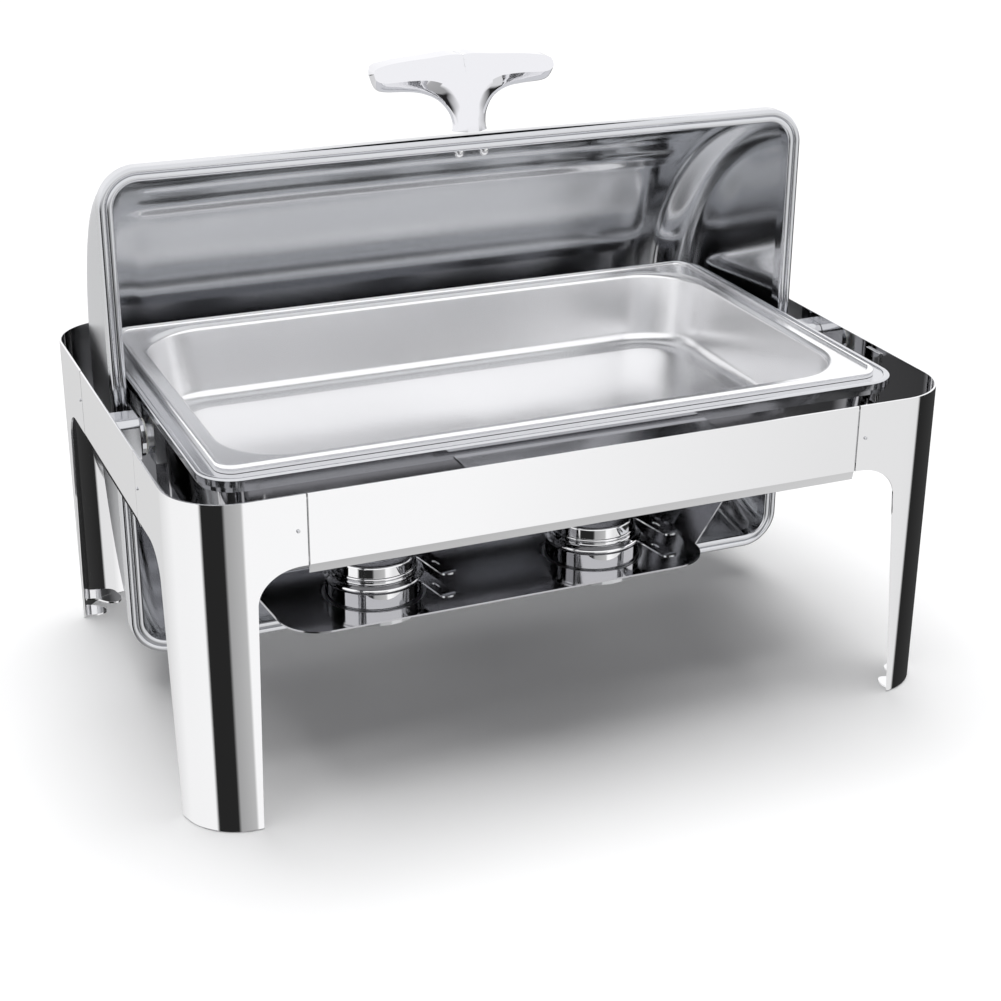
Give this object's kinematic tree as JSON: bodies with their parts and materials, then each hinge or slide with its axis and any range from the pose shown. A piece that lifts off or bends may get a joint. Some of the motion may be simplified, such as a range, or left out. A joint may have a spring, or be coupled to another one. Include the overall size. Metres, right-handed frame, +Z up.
{
  "type": "roll top chafer",
  "caption": "Polished steel serving stand with a roll-back lid, a water pan, a food pan and a burner tray underneath.",
  "frame": {"origin": "on the floor, under the middle of the stand", "axes": "+X along the long side to the right seen from the front, +Y to the back where the open lid hangs, +Z up"},
  "size_m": [0.6164, 0.4202, 0.4871],
  "materials": {
    "mirror_polished_steel": "mirror polished stainless sheet",
    "brushed_satin_steel": "brushed satin stainless sheet",
    "shaded_sheet_steel": "bright stainless sheet that mirrors the dark underside",
    "acetal_bush": "moulded"
  },
  "bodies": {
    "stand": {"leg_front_left": "mirror_polished_steel", "leg_front_right": "mirror_polished_steel", "leg_back_left": "mirror_polished_steel", "leg_back_right": "mirror_polished_steel", "rail_front": "mirror_polished_steel", "rail_back": "mirror_polished_steel", "rail_left": "mirror_polished_steel", "rail_right": "mirror_polished_steel", "rail_rivet_front_left": "mirror_polished_steel", "rail_rivet_front_right": "mirror_polished_steel", "rail_rivet_back_left": "mirror_polished_steel", "rail_rivet_back_right": "mirror_polished_steel", "side_rivet_front_left": "mirror_polished_steel", "side_rivet_front_right": "mirror_polished_steel", "side_rivet_back_left": "mirror_polished_steel", "side_rivet_back_right": "mirror_polished_steel", "lid_rest_ledge": "shaded_sheet_steel", "hinge_block_left": "mirror_polished_steel", "hinge_block_right": "mirror_polished_steel", "shaft_lock_screw_left": "brushed_satin_steel", "shaft_lock_screw_right": "brushed_satin_steel", "hinge_shaft_left": "brushed_satin_steel", "hinge_shaft_right": "brushed_satin_steel", "pan_cradle": "mirror_polished_steel", "burner_tray": "shaded_sheet_steel", "burner_seat_left": "brushed_satin_steel", "burner_seat_right": "brushed_satin_steel"},
    "lid": {"lid_shell": "brushed_satin_steel", "lid_rim": "mirror_polished_steel", "lid_handle": "mirror_polished_steel", "handle_cap_nut_left": "mirror_polished_steel", "handle_cap_nut_right": "mirror_polished_steel", "lid_arm_left": "mirror_polished_steel", "lid_arm_right": "mirror_polished_steel", "hinge_bush_left": "acetal_bush", "hinge_bush_right": "acetal_bush", "arm_rivet_left_lower": "mirror_polished_steel", "arm_rivet_left_upper": "mirror_polished_steel", "arm_rivet_right_lower": "mirror_polished_steel", "arm_rivet_right_upper": "mirror_polished_steel"},
    "water_pan_body": {"water_pan": "mirror_polished_steel"},
    "food_pan_body": {"food_pan": "brushed_satin_steel"},
    "burner_left": {"burner_cup_left": "mirror_polished_steel", "cup_handle_left": "mirror_polished_steel"},
    "burner_top_left": {"burner_cover_left": "mirror_polished_steel", "cover_handle_left": "mirror_polished_steel"},
    "burner_right": {"burner_cup_right": "mirror_polished_steel", "cup_handle_right": "mirror_polished_steel"},
    "burner_top_right": {"burner_cover_right": "mirror_polished_steel", "cover_handle_right": "mirror_polished_steel"}
  },
  "joints": [
    {"name": "lid_roll", "type": "hinge", "parent": "stand", "child": "lid", "pos_m": [0, 0, 0.22838], "axis": [1, 0, 0], "range_deg": [-65, 90]},
    {"name": "water_pan_lift", "type": "slide", "parent": "stand", "child": "water_pan_body", "axis": [0, 0, 1], "range_m": [0, 0.03]},
    {"name": "food_pan_lift", "type": "slide", "parent": "water_pan_body", "child": "food_pan_body", "axis": [0, 0, 1], "range_m": [0, 0.04]},
    {"name": "burner_lift_left", "type": "slide", "parent": "stand", "child": "burner_left", "axis": [0, 0, 1], "range_m": [0, 0.04]},
    {"name": "burner_top_turn_left", "type": "hinge", "parent": "burner_left", "child": "burner_top_left", "pos_m": [-0.099, 0, 0.09], "axis": [0, 0, 1], "range_deg": [-25, 35]},
    {"name": "burner_lift_right", "type": "slide", "parent": "stand", "child": "burner_right", "axis": [0, 0, 1], "range_m": [0, 0.04]},
    {"name": "burner_top_turn_right", "type": "hinge", "parent": "burner_right", "child": "burner_top_right", "pos_m": [0.099, 0, 0.09], "axis": [0, 0, 1], "range_deg": [-25, 35]}
  ]
}
